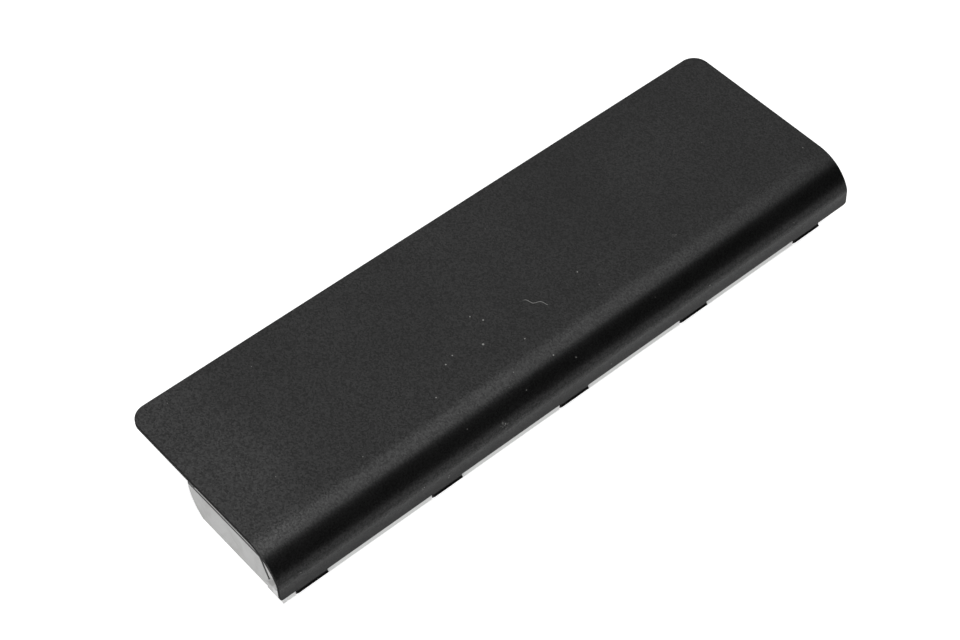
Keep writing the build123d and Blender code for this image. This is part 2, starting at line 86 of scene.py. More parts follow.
class CoverFinish(bpy.types.PropertyGroup):
    """Sizes and colours of the black textured cover, and of the dirt on it."""

    colour: bpy.props.FloatVectorProperty(
        name="Plastic", description="Colour of the moulded black plastic",
        subtype="COLOR", default=(0.003, 0.003, 0.003), min=0, max=1)
    roughness: bpy.props.FloatProperty(
        name="Roughness", description="How matt the spark-eroded skin is",
        subtype="FACTOR", default=0.295, min=0, max=1)
    grain: bpy.props.FloatProperty(
        name="Grain", description="Width of one facet of the eroded texture",
        unit="LENGTH", default=0.40 * mm, min=0.05 * mm)
    lean: bpy.props.FloatProperty(
        name="Grain lean", description="How far the facets of the eroded texture lean to either side",
        default=0.05, min=0)
    pits: bpy.props.FloatProperty(
        name="Pits", description="How much the sheen differs from facet to facet",
        subtype="FACTOR", default=0.31, min=0, max=1)
    gloss: bpy.props.FloatProperty(
        name="Gloss", description="Specular level of the plastic under its sheen",
        subtype="FACTOR", default=0.25, min=0, max=1)
    # Painted highlight and shade in the sheen: stronger at the near end of the plate and weaker towards
    # the far end, for how the overhead light falls along the pack
    painted_near_sheen: bpy.props.FloatProperty(
        name="Near end", description="How much stronger the sheen is at the near end of the plate",
        subtype="FACTOR", default=0.7, min=0, max=1)
    painted_far_shade: bpy.props.FloatProperty(
        name="Far end", description="How much weaker the sheen is towards the far end",
        subtype="FACTOR", default=0.24, min=0, max=1)
    cloud: bpy.props.FloatProperty(
        name="Cloud", description="Width of the slow clouds in the sheen",
        unit="LENGTH", default=30 * mm, min=1 * mm)
    crumb: bpy.props.FloatProperty(
        name="Crumb", description="Width of one crumb of a scuff",
        unit="LENGTH", default=0.4 * mm, min=0.05 * mm)
    dust: bpy.props.FloatVectorProperty(
        name="Dust", description="Colour of dust, lint and scuffs",
        subtype="COLOR", default=(0.30, 0.30, 0.29), min=0, max=1)
    speck: bpy.props.FloatProperty(
        name="Speck", description="Radius of the largest dust specks",
        unit="LENGTH", default=0.20 * mm, min=0)
    speck_spacing: bpy.props.FloatProperty(
        name="Speck spacing", description="Mean distance between places where a speck can lie",
        unit="LENGTH", default=3.4 * mm, min=0.1 * mm)
    fibre_start: bpy.props.FloatVectorProperty(
        name="Fibre", description="Where the stray fibre on the plate starts",
        subtype="XYZ_LENGTH", default=(0.0, -6.4 * mm, plate_top))
    fibre_length: bpy.props.FloatProperty(
        name="Fibre length", description="Length of the stray fibre from end to end",
        unit="LENGTH", default=7.2 * mm, min=0)
    fibre_turn: bpy.props.FloatProperty(
        name="Fibre turn", description="Direction in which the fibre lies",
        subtype="ANGLE", default=math.radians(-49.5))
    fibre_width: bpy.props.FloatProperty(
        name="Fibre width", description="Width of the stray fibre",
        unit="LENGTH", default=0.22 * mm, min=0)


class CaseFinish(bpy.types.PropertyGroup):
    """Sizes and colours of the light grey case halves."""

    colour: bpy.props.FloatVectorProperty(
        name="Plastic", description="Colour of the moulded light grey plastic",
        subtype="COLOR", default=(0.61, 0.61, 0.605), min=0, max=1)
    stain: bpy.props.FloatVectorProperty(
        name="Stain", description="Colour of the faint stains from handling",
        subtype="COLOR", default=(0.49, 0.485, 0.475), min=0, max=1)
    roughness: bpy.props.FloatProperty(
        name="Roughness", description="How matt the moulded skin is",
        subtype="FACTOR", default=0.46, min=0, max=1)
    # Painted shade: a dark colour laid into seams and crevices, where shade falls between the parts
    shade: bpy.props.FloatVectorProperty(
        name="Grime", description="Colour of the grime in the seams",
        subtype="COLOR", default=(0.03, 0.03, 0.03), min=0, max=1)
    shade_reach: bpy.props.FloatProperty(
        name="Crevice", description="How near another wall has to be for grime to gather",
        unit="LENGTH", default=0.8 * mm, min=0)
    # Painted light: the front lip is coloured lighter than the case, for the light that falls on its front
    lip: bpy.props.FloatVectorProperty(
        name="Lip", description="Colour of the clean front lip",
        subtype="COLOR", default=(0.80, 0.80, 0.795), min=0, max=1)
    # Width of the band of painted shade along the seam
    seam: bpy.props.FloatProperty(
        name="Seam", description="Width of the line of grime along the seam",
        unit="LENGTH", default=0.75 * mm, min=0.1 * mm)
    patch: bpy.props.FloatProperty(
        name="Patch", description="Width of a stain",
        unit="LENGTH", default=7.0 * mm, min=0.1 * mm)
    grain: bpy.props.FloatProperty(
        name="Grain", description="Width of one grain of the moulded skin",
        unit="LENGTH", default=0.25 * mm, min=0.05 * mm)


class CellFinish(bpy.types.PropertyGroup):
    """Colours of the cells and of what is welded and glued to their ends."""

    sleeve: bpy.props.FloatVectorProperty(
        name="Sleeve", description="Colour of the shrink sleeve",
        subtype="COLOR", default=(0.10, 0.30, 0.22), min=0, max=1)
    steel: bpy.props.FloatVectorProperty(
        name="Can", description="Colour of the plated steel at the ends",
        subtype="COLOR", default=(0.66, 0.65, 0.62), min=0, max=1)
    nickel: bpy.props.FloatVectorProperty(
        name="Nickel", description="Colour of the welded strips",
        subtype="COLOR", default=(0.72, 0.70, 0.66), min=0, max=1)
    paper: bpy.props.FloatVectorProperty(
        name="Ring paper", description="Colour of the insulating rings",
        subtype="COLOR", default=(0.85, 0.84, 0.78), min=0, max=1)
    card: bpy.props.FloatVectorProperty(
        name="Card", description="Colour of the insulating pads",
        subtype="COLOR", default=(0.80, 0.78, 0.70), min=0, max=1)
    fold: bpy.props.FloatProperty(
        name="Fold", description="How far the sleeve folds in over the end of a cell",
        unit="LENGTH", default=1.3 * mm, min=0)
    weld: bpy.props.FloatProperty(
        name="Weld", description="Radius of one spot weld",
        unit="LENGTH", default=0.55 * mm, min=0)
    weld_spread: bpy.props.FloatProperty(
        name="Weld spread", description="Half the distance between the spot welds on one cell",
        unit="LENGTH", default=1.9 * mm, min=0)


class BoardFinish(bpy.types.PropertyGroup):
    """Colours of the circuit board and of what is soldered on it."""

    mask: bpy.props.FloatVectorProperty(
        name="Solder mask", description="Colour of the lacquer over bare laminate",
        subtype="COLOR", default=(0.03, 0.16, 0.07), min=0, max=1)
    track: bpy.props.FloatVectorProperty(
        name="Track", description="Colour of the lacquer over a copper track",
        subtype="COLOR", default=(0.06, 0.30, 0.12), min=0, max=1)
    laminate: bpy.props.FloatVectorProperty(
        name="Laminate", description="Colour of the glass laminate at the cut edges",
        subtype="COLOR", default=(0.50, 0.44, 0.26), min=0, max=1)
    epoxy: bpy.props.FloatVectorProperty(
        name="Epoxy", description="Colour of the moulded chips",
        subtype="COLOR", default=(0.03, 0.03, 0.032), min=0, max=1)
    ceramic: bpy.props.FloatVectorProperty(
        name="Fuse ceramic", description="Colour of the body of the fuse",
        subtype="COLOR", default=(0.86, 0.86, 0.84), min=0, max=1)
    tan: bpy.props.FloatVectorProperty(
        name="Capacitor ceramic", description="Colour of the bodies of the capacitors",
        subtype="COLOR", default=(0.52, 0.40, 0.28), min=0, max=1)
    bead: bpy.props.FloatVectorProperty(
        name="Bead", description="Colour of the dipped thermistor bead",
        subtype="COLOR", default=(0.08, 0.07, 0.06), min=0, max=1)
    tin: bpy.props.FloatVectorProperty(
        name="Tin", description="Colour of tinned ends, legs and wire",
        subtype="COLOR", default=(0.78, 0.77, 0.74), min=0, max=1)
    track_pitch: bpy.props.FloatProperty(
        name="Track pitch", description="Distance from one copper track to the next",
        unit="LENGTH", default=1.1 * mm, min=0.1 * mm)


class LeadFinish(bpy.types.PropertyGroup):
    """Colours of the leads and of the thermal cut-off between them."""

    black: bpy.props.FloatVectorProperty(
        name="Black lead", description="Colour of the insulation of the negative lead",
        subtype="COLOR", default=(0.03, 0.03, 0.03), min=0, max=1)
    red: bpy.props.FloatVectorProperty(
        name="Red lead", description="Colour of the insulation of the positive lead",
        subtype="COLOR", default=(0.55, 0.04, 0.03), min=0, max=1)
    cutoff: bpy.props.FloatVectorProperty(
        name="Cut-off", description="Colour of the moulded body of the cut-off",
        subtype="COLOR", default=(0.20, 0.20, 0.21), min=0, max=1)
    bare_radius: bpy.props.FloatProperty(
        name="Bare wire", description="Radius up to which a lead shows bare strands",
        unit="LENGTH", default=0.5 * mm, min=0)


class ConnectorFinish(bpy.types.PropertyGroup):
    """Colours of the slotted connector."""

    plastic: bpy.props.FloatVectorProperty(
        name="Housing", description="Colour of the moulded housing",
        subtype="COLOR", default=(0.018, 0.018, 0.019), min=0, max=1)
    gold: bpy.props.FloatVectorProperty(
        name="Gold", description="Colour of the plated contacts",
        subtype="COLOR", default=(0.83, 0.65, 0.30), min=0, max=1)


class Studio(bpy.types.PropertyGroup):
    """The camera's place, the lamps and the white floor."""

    azimuth: bpy.props.FloatProperty(
        name="Azimuth", description="Bearing of the camera round the pack",
        subtype="ANGLE", default=math.radians(-41.05))
    elevation: bpy.props.FloatProperty(
        name="Elevation", description="Height of the camera above the horizon, as an angle",
        subtype="ANGLE", default=math.radians(50.30))
    place: bpy.props.FloatVectorProperty(
        name="Camera", description="Where the camera stands",
        subtype="XYZ_LENGTH", default=(-0.26503, -0.29365, 0.48299))
    lens: bpy.props.FloatProperty(
        name="Lens", description="Focal length of the camera in millimetres",
        default=84.42, min=1)
    floor: bpy.props.FloatProperty(
        name="Floor", description="Half the width of the white floor",
        unit="LENGTH", default=2.0)
    floor_glow: bpy.props.FloatProperty(
        name="Floor white", description="Glow of the floor to the camera, besides the light of the lamps",
        subtype="FACTOR", default=0.70, min=0, max=1)
    floor_mirror: bpy.props.FloatProperty(
        name="Floor in reflections", description="Share of that glow that reflections show",
        subtype="FACTOR", default=0.12, min=0, max=1)
    overhead: bpy.props.FloatProperty(
        name="Overhead lamp", description="Power of the soft lamp overhead, in watts",
        default=3.2, min=0)
    side: bpy.props.FloatProperty(
        name="Side lamp", description="Power of the soft lamp at the near corner, in watts",
        default=21.5, min=0)
    back: bpy.props.FloatProperty(
        name="Back lamp", description="Power of the wide soft lamp above and behind the pack, in watts",
        default=2.9, min=0)
    room: bpy.props.FloatProperty(
        name="Room", description="Level of the even light from the dark room",
        default=0.02, min=0)


class Sheet:
    """Lays shader nodes in one tree: a socket that is passed in is wired, a number or colour is set."""

    def __init__(self, tree):
        self.tree = tree

    def feed(self, socket, value):
        """Wires a socket to an input, or sets the input to a value."""
        if isinstance(value, bpy.types.NodeSocket):
            self.tree.links.new(value, socket)
        else:
            socket.default_value = value

    def node(self, kind, inputs, **fields):
        """A node of a kind, with its fields set first and its inputs fed by name or number."""
        made = self.tree.nodes.new(kind)
        for field, value in fields.items():
            setattr(made, field, value)
        for key, value in inputs.items():
            self.feed(made.inputs[key], value)
        return made

    def math(self, operation, *values):
        """One step of arithmetic."""
        return self.node("ShaderNodeMath", dict(enumerate(values)), operation=operation).outputs[0]

    def step(self, value, low, high):
        """0 at low and 1 at high, eased between them; low may be the larger one."""
        inputs = {"Value": value, "From Min": low, "From Max": high}
        return self.node("ShaderNodeMapRange", inputs, interpolation_type="SMOOTHSTEP").outputs["Result"]

    def both(self, *masks):
        """A mask that holds where all the given masks hold."""
        made = masks[0]
        for mask in masks[1:]:
            made = self.math("MULTIPLY", made, mask)
        return made

    def either(self, *masks):
        """A mask that holds where any of the given masks holds."""
        made = masks[0]
        for mask in masks[1:]:
            made = self.math("MAXIMUM", made, mask)
        return made

    def blend(self, share, first, second):
        """Colour that goes from the first to the second as the share goes from 0 to 1."""
        made = self.node("ShaderNodeMix", {"Factor": share}, data_type="RGBA")
        ends = [socket for socket in made.inputs if socket.type == "RGBA"]
        self.feed(ends[0], first)
        self.feed(ends[1], second)
        return next(socket for socket in made.outputs if socket.type == "RGBA")

    def place(self):
        """The point on the piece, in the pack's own frame."""
        return self.tree.nodes.new("ShaderNodeTexCoord").outputs["Object"]

    def moved(self, place, centre):
        """The point as seen from a centre."""
        inputs = {0: place, 1: centre}
        return self.node("ShaderNodeVectorMath", inputs, operation="SUBTRACT").outputs["Vector"]

    def distance(self, place, centre):
        """How far the point is from a centre."""
        inputs = {0: self.moved(place, centre)}
        return self.node("ShaderNodeVectorMath", inputs, operation="LENGTH").outputs["Value"]

    def parts(self, place):
        """The three coordinates of a point."""
        return self.node("ShaderNodeSeparateXYZ", {"Vector": place}).outputs

    def hypotenuse(self, first, second):
        """Square root of the sum of two squares."""
        square = self.math("MULTIPLY", first, first)
        return self.math("SQRT", self.math("MULTIPLY_ADD", second, second, square))

    def facing(self):
        """The three coordinates of the direction that the surface faces."""
        return self.parts(self.tree.nodes.new("ShaderNodeNewGeometry").outputs["Normal"])

    def noise(self, place, width, detail):
        """Cloudy values with lumps of a given width."""
        inputs = {"Vector": place, "Scale": 1 / width, "Detail": detail}
        return self.node("ShaderNodeTexNoise", inputs).outputs["Fac"]

    def bump(self, shader, height, depth):
        """Raises and sinks the surface by a height from 0 to 1 times a depth."""
        made = self.node("ShaderNodeBump", {"Height": height, "Distance": depth})
        self.feed(shader.inputs["Normal"], made.outputs["Normal"])

    def group(self, name, inputs):
        """A shared effect, with its own values."""
        made = self.tree.nodes.new("ShaderNodeGroup")
        made.node_tree = bpy.data.node_groups[name]
        for key, value in inputs.items():
            self.feed(made.inputs[key], value)
        return made.outputs


def paint(colour, share=1.0):
    """A colour property as a shader takes it, darkened to a share of itself."""
    return (*(share * part for part in colour), 1)


def new_finish(name):
    """An empty node material with a Principled shader wired to its output."""
    material = bpy.data.materials.new(name)
    material.use_nodes = True
    tree = material.node_tree
    tree.nodes.clear()
    out = tree.nodes.new("ShaderNodeOutputMaterial")
    shader = tree.nodes.new("ShaderNodeBsdfPrincipled")
    tree.links.new(shader.outputs["BSDF"], out.inputs["Surface"])
    return material, Sheet(tree), shader


def new_effect(name, inputs, outputs):
    """An empty shared effect: its sheet, and the sockets inside it."""
    tree = bpy.data.node_groups.new(name, "ShaderNodeTree")
    for side, sockets in (("INPUT", inputs), ("OUTPUT", outputs)):
        for label, kind in sockets.items():
            tree.interface.new_socket(name=label, in_out=side, socket_type=f"NodeSocket{kind}")
    source = tree.nodes.new("NodeGroupInput").outputs
    result = tree.nodes.new("NodeGroupOutput").inputs
    return Sheet(tree), source, result


def dress(node_names, material):
    """Puts one material on the named pieces."""
    for name in node_names:
        slots = nodes[name].data.materials
        slots.clear()
        slots.append(material)


def make_grain_effect():
    """Eroded or moulded grain: two sizes of fine noise as a height, and a slower one as a tone."""
    coarse_width = 2.7
    coarse_share = 0.8
    slow_width = 30.0
    sockets = {"Vector": "Vector", "Grain": "Float"}
    sheet, source, result = new_effect("moulded_grain", sockets, {"Height": "Float", "Tone": "Float"})
    fine = sheet.math("DIVIDE", 1.0, source["Grain"])
    coarse = sheet.math("DIVIDE", fine, coarse_width)
    slow = sheet.math("DIVIDE", fine, slow_width)
    lumps = []
    for scale, detail in ((fine, 1.0), (coarse, 1.0), (slow, 3.0)):
        inputs = {"Vector": source["Vector"], "Scale": scale, "Detail": detail}
        lumps.append(sheet.node("ShaderNodeTexNoise", inputs).outputs["Fac"])
    height = sheet.math("MULTIPLY_ADD", lumps[1], coarse_share, lumps[0])
    sheet.feed(result["Height"], sheet.math("DIVIDE", height, 1 + coarse_share))
    sheet.feed(result["Tone"], lumps[2])


def make_facet_effect():
    """Spark-eroded texture: a mosaic of tiny facets, each with a lean and a pit of its own."""
    sockets = {"Vector": "Vector", "Grain": "Float", "Lean": "Float"}
    sheet, source, result = new_effect("eroded_facets", sockets, {"Normal": "Vector", "Pit": "Float"})
    scale = sheet.math("DIVIDE", 1.0, source["Grain"])
    mosaic = sheet.node("ShaderNodeTexVoronoi", {"Vector": source["Vector"], "Scale": scale})
    lot = sheet.moved(mosaic.outputs["Color"], (0.5, 0.5, 0.5))
    facing = sheet.tree.nodes.new("ShaderNodeNewGeometry").outputs["Normal"]
    lean = sheet.node("ShaderNodeVectorMath", {0: lot, "Scale": source["Lean"]}, operation="SCALE")
    turned = sheet.node("ShaderNodeVectorMath", {0: facing, 1: lean.outputs["Vector"]}, operation="ADD")
    normal = sheet.node("ShaderNodeVectorMath", {0: turned.outputs["Vector"]}, operation="NORMALIZE")
    sheet.feed(result["Normal"], normal.outputs["Vector"])
    sheet.feed(result["Pit"], sheet.parts(mosaic.outputs["Color"])["Y"])


def make_crevice_shade_effect():
    """Painted shade in crevices: 1 where a piece faces close walls, in seams and pockets, where shade
    falls.
    """
    unshaded_openness = 0.50
    shaded_openness = 0.20
    sheet, source, result = new_effect("crevice_shade", {"Reach": "Float"}, {"Mask": "Float"})
    openness = sheet.node("ShaderNodeAmbientOcclusion", {"Distance": source["Reach"]}, samples=8)
    sheet.feed(result["Mask"], sheet.step(openness.outputs["AO"], unshaded_openness, shaded_openness))


def make_stain_effect():
    """Faint stains: broad clouds, broken up by smaller ones."""
    faint_level = 0.42
    full_level = 0.72
    sockets = {"Vector": "Vector", "Patch": "Float"}
    sheet, source, result = new_effect("stains", sockets, {"Mask": "Float"})
    inputs = {
        "Vector": source["Vector"],
        "Scale": sheet.math("DIVIDE", 1.0, source["Patch"]),
        "Detail": 5.0,
        "Roughness": 0.62,
        "Distortion": 0.6,
    }
    clouds = sheet.node("ShaderNodeTexNoise", inputs)
    sheet.feed(result["Mask"], sheet.step(clouds.outputs["Fac"], faint_level, full_level))


def make_dust_effect():
    """Dust: a speck in some of the cells of a random mosaic, each of its own size."""
    empty_share = 0.45
    core_share = 0.4
    sockets = {"Vector": "Vector", "Spacing": "Float", "Speck": "Float"}
    sheet, source, result = new_effect("dust_specks", sockets, {"Mask": "Float"})
    scale = sheet.math("DIVIDE", 1.0, source["Spacing"])
    mosaic = sheet.node("ShaderNodeTexVoronoi", {"Vector": source["Vector"], "Scale": scale})
    lot = sheet.parts(mosaic.outputs["Color"])["X"]
    distance = sheet.math("MULTIPLY", mosaic.outputs["Distance"], source["Spacing"])
    radius = sheet.math("MULTIPLY", source["Speck"], sheet.step(lot, empty_share, 1.0))
    core = sheet.math("MULTIPLY", radius, core_share)
    sheet.feed(result["Mask"], sheet.step(distance, radius, core))


def make_ends_effect():
    """Both ends of a piece that lies along X: all that is further from its middle than a reach."""
    sockets = {"Vector": "Vector", "Middle": "Float", "Reach": "Float"}
    sheet, source, result = new_effect("both_ends", sockets, {"Mask": "Float"})
    along = sheet.math("SUBTRACT", sheet.parts(source["Vector"])["X"], source["Middle"])
    away = sheet.math("ABSOLUTE", along)
    sheet.feed(result["Mask"], sheet.math("GREATER_THAN", away, source["Reach"]))


class BATTERY_OT_effects(bpy.types.Operator):
    """Make the effects that several finishes share"""

    bl_idname = "battery.effects"
    bl_label = "Shared effects"

    def execute(self, context):
        make_grain_effect()
        make_facet_effect()
        make_crevice_shade_effect()
        make_stain_effect()
        make_dust_effect()
        make_ends_effect()
        return {"FINISHED"}


def fibre_mask(sheet, place, finish):
    """A stray fibre: a thin line that waves about its chord, and only on the upper face."""
    waves = 1.75
    bow_share = 0.055
    length = finish.fibre_length
    turn_cos = math.cos(finish.fibre_turn)
    turn_sin = math.sin(finish.fibre_turn)
    local = sheet.parts(sheet.moved(place, finish.fibre_start))
    along = sheet.math("MULTIPLY", local["Y"], turn_sin)
    along = sheet.math("MULTIPLY_ADD", local["X"], turn_cos, along)
    across = sheet.math("MULTIPLY", local["X"], -turn_sin)
    across = sheet.math("MULTIPLY_ADD", local["Y"], turn_cos, across)
    wave = sheet.math("SINE", sheet.math("MULTIPLY", along, 2 * math.pi * waves / length))
    bow = sheet.math("MULTIPLY", wave, bow_share * length)
    off_line = sheet.math("ABSOLUTE", sheet.math("SUBTRACT", across, bow))
    thin = sheet.step(off_line, finish.fibre_width / 2, finish.fibre_width / 5)
    started = sheet.step(along, 0, 0.15 * length)
    not_over = sheet.step(along, length, 0.97 * length)
    on_top = sheet.step(local["Z"], -0.3 * mm, -0.1 * mm)
    return sheet.both(thin, started, not_over, on_top)


def scuff_mask(sheet, place, centre, reach, crumb):
    """A scuff: crumbs of fine noise that thin out away from a centre."""
    far_share = 0.6
    near = sheet.step(sheet.distance(place, centre), reach, 0)
    share = sheet.math("MULTIPLY_ADD", near, 1 - far_share, far_share)
    crumbs = sheet.math("MULTIPLY", sheet.noise(place, crumb, 1.0), share)
    return sheet.step(crumbs, 0.50, 0.62)


def cover_dirt(sheet, place, finish):
    """Scattered dust, the stray fibre, the scuffs and the single dots on the cover."""
    scuff_strength = 0.75
    dot_core = 0.4
    specks = {"Vector": place, "Spacing": finish.speck_spacing, "Speck": finish.speck}
    dirt = [sheet.group("dust_specks", specks)["Mask"], fibre_mask(sheet, place, finish)]
    for centre, reach in cover_scuffs:
        scuff = scuff_mask(sheet, place, centre, reach, finish.crumb)
        dirt.append(sheet.math("MULTIPLY", scuff, scuff_strength))
    for centre, radius in cover_dots:
        dirt.append(sheet.step(sheet.distance(place, centre), radius, dot_core * radius))
    return sheet.either(*dirt)


def cover_sheen(sheet, place, pit, matt, finish):
    """Sheen of the cover: differs by facet and in slow clouds. It is painted stronger at the near end of
    the plate and weaker towards the far end, a painted highlight and painted shade for how the overhead
    light falls along the pack, and it fades down the front wall as painted shade. It is gone where the
    cover is matt."""
    mean_sheen = 0.5
    plate_front = (-26 * mm, -20 * mm)
    near_end = (30 * mm - half_length, 5 * mm - half_length)
    far_end = (-40 * mm, 50 * mm)
    painted_wall_shade = (6.6 * mm, 13.4 * mm)
    local = sheet.parts(place)
    near = sheet.both(sheet.step(local["X"], *near_end), sheet.step(local["Y"], *plate_front))
    shares = [
        sheet.math("MULTIPLY_ADD", pit, -2 * finish.pits, mean_sheen + finish.pits),
        sheet.math("SUBTRACT", 1.0, matt),
        # Painted highlight and shade: more sheen at the near end of the plate, less towards the far end
        sheet.math("MULTIPLY_ADD", near, finish.painted_near_sheen, 1.0),
        sheet.math("MULTIPLY_ADD", sheet.step(local["X"], *far_end), -finish.painted_far_shade, 1.0),
        # Painted shade: the sheen fades down the front wall towards its foot
        sheet.step(local["Z"], *painted_wall_shade),
        sheet.math("MULTIPLY_ADD", sheet.noise(place, finish.cloud, 2.0), 0.8, 0.6),
    ]
    return sheet.both(*shares)


class BATTERY_OT_cover(bpy.types.Operator):
    """Finish the black cover: eroded grain, dust, a stray fibre, a few scuffs, and painted highlight and
    shade in its sheen
    """

    bl_idname = "battery.cover"
    bl_label = "Black cover"

    def execute(self, context):
        tone_roughness = 0.04
        matt_roughness = 0.4
        finish = context.scene.battery_cover
        material, sheet, shader = new_finish("black_cover")
        place = sheet.place()
        grain = sheet.group("moulded_grain", {"Vector": place, "Grain": finish.grain})
        tone = sheet.step(grain["Tone"], 0.25, 0.75)
        dirty = cover_dirt(sheet, place, finish)
        plastic = sheet.blend(tone, paint(finish.colour, 0.7), paint(finish.colour))
        sheet.feed(shader.inputs["Base Color"], sheet.blend(dirty, plastic, paint(finish.dust)))
        # Painted shade: the faces at both ends are made matt and lose their sheen, so that they render
        # dark
        shaded_ends = sheet.step(sheet.math("ABSOLUTE", sheet.facing()["X"]), 0.5, 0.9)
        matt = sheet.either(dirty, shaded_ends)
        smoothest = finish.roughness - tone_roughness / 2
        rough = sheet.math("MULTIPLY_ADD", tone, tone_roughness, smoothest)
        sheet.feed(shader.inputs["Roughness"], sheet.math("MULTIPLY_ADD", matt, matt_roughness, rough))
        inputs = {"Vector": place, "Grain": finish.grain, "Lean": finish.lean}
        facets = sheet.group("eroded_facets", inputs)
        sheet.feed(shader.inputs["Normal"], facets["Normal"])
        sheen = cover_sheen(sheet, place, facets["Pit"], matt, finish)
        sheet.feed(shader.inputs["Coat Weight"], sheen)
        shader.inputs["Coat Roughness"].default_value = finish.roughness
        shader.inputs["Specular IOR Level"].default_value = finish.gloss
        dress(["top_cover"], material)
        return {"FINISHED"}


def seam_shade_mask(sheet, local, width):
    """Painted shade along the seam: a band beside its slanting line in front, and a level one below its
    head.
    """
    drop = 0.3 * mm
    soft = 0.1 * mm
    run = (seam_head - seam_foot).normalized()
    over = sheet.math("MULTIPLY", sheet.math("SUBTRACT", local["Y"], seam_foot[1]), run[2])
    under = sheet.math("MULTIPLY", sheet.math("SUBTRACT", local["Z"], seam_foot[2]), run[1])
    off_line = sheet.math("SUBTRACT", over, under)
    slant = sheet.both(
        sheet.step(off_line, -soft / 2, soft / 2),
        sheet.step(off_line, width + soft / 2, width - soft / 2),
        sheet.step(local["Z"], seam_head[2], seam_head[2] - drop))
    below = sheet.math("SUBTRACT", seam_head[2], local["Z"])
    level = sheet.both(
        sheet.step(below, drop, drop + soft),
        sheet.step(below, drop + width, drop + width - soft),
        sheet.step(local["Y"], seam_head[1] - drop, seam_head[1]))
    return sheet.either(slant, level)


class BATTERY_OT_case(bpy.types.Operator):
    """Finish both light grey case halves: smooth moulded plastic with faint stains, painted shade in seams
    and crevices, and a lip painted lighter
    """

    bl_idname = "battery.case"
    bl_label = "Grey case"

    def execute(self, context):
        stain_strength = 0.8
        stain_roughness = 0.08
        grain_depth = 0.004 * mm
        finish = context.scene.battery_case
        material, sheet, shader = new_finish("grey_case")
        place = sheet.place()
        local = sheet.parts(place)
        stains = sheet.group("stains", {"Vector": place, "Patch": finish.patch})["Mask"]
        faint = sheet.math("MULTIPLY", stains, stain_strength)
        plastic = sheet.blend(faint, paint(finish.colour), paint(finish.stain))
        specks = {"Vector": place, "Spacing": 9 * mm, "Speck": 0.16 * mm}
        dust = sheet.group("dust_specks", specks)["Mask"]
        dusty = sheet.blend(dust, plastic, paint(finish.stain, 0.5))
        # Painted light: the front lip takes a lighter colour than the rest of the case
        lit_lip_mask = sheet.step(local["Y"], lip_back, lip_back - lip_fade)
        skin = sheet.blend(lit_lip_mask, dusty, paint(finish.lip))
        # Painted shade: dark colour in crevices found by ambient occlusion, and in a band along the seam
        crevice_shade = sheet.group("crevice_shade", {"Reach": finish.shade_reach})["Mask"]
        painted_shade_mask = sheet.either(crevice_shade, seam_shade_mask(sheet, local, finish.seam))
        sheet.feed(shader.inputs["Base Color"], sheet.blend(painted_shade_mask, skin, paint(finish.shade)))
        rough = sheet.math("MULTIPLY_ADD", stains, stain_roughness, finish.roughness)
        sheet.feed(shader.inputs["Roughness"], rough)
        grain = sheet.group("moulded_grain", {"Vector": place, "Grain": finish.grain})
        sheet.bump(shader, grain["Height"], grain_depth)
        dress(["upper_case", "lower_case"], material)
        return {"FINISHED"}


class BATTERY_OT_cells(bpy.types.Operator):
    """Finish the cells: a shrink sleeve folded in over plated steel ends"""

    bl_idname = "battery.cells"
    bl_label = "Cells"

    def execute(self, context):
        end_reach = 1.6 * mm
        wrinkle_width = 3.0 * mm
        wrinkle_depth = 0.05 * mm
        finish = context.scene.battery_cells
        folded = cell_radius - finish.fold
        for name in cell_names:
            low, high = (Vector(corner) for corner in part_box(name))
            half = (high[0] - low[0]) / 2
            material, sheet, shader = new_finish(f"cell_sleeve_{name}")
            place = sheet.place()
            local = sheet.parts(sheet.moved(place, (low + high) / 2))
            radius = sheet.hypotenuse(local["Y"], local["Z"])
            at_end = sheet.math("GREATER_THAN", sheet.math("ABSOLUTE", local["X"]), half - end_reach)
            bare = sheet.both(at_end, sheet.step(radius, folded, folded - 0.1 * mm))
            wrinkles = sheet.noise(place, wrinkle_width, 3.0)
            sleeve = sheet.blend(wrinkles, paint(finish.sleeve, 0.8), paint(finish.sleeve))
            sheet.feed(shader.inputs["Base Color"], sheet.blend(bare, sleeve, paint(finish.steel)))
            sheet.feed(shader.inputs["Metallic"], bare)
            sheet.feed(shader.inputs["Roughness"], sheet.math("MULTIPLY_ADD", wrinkles, 0.15, 0.25))
            sheet.bump(shader, wrinkles, wrinkle_depth)
            dress([name], material)
        return {"FINISHED"}


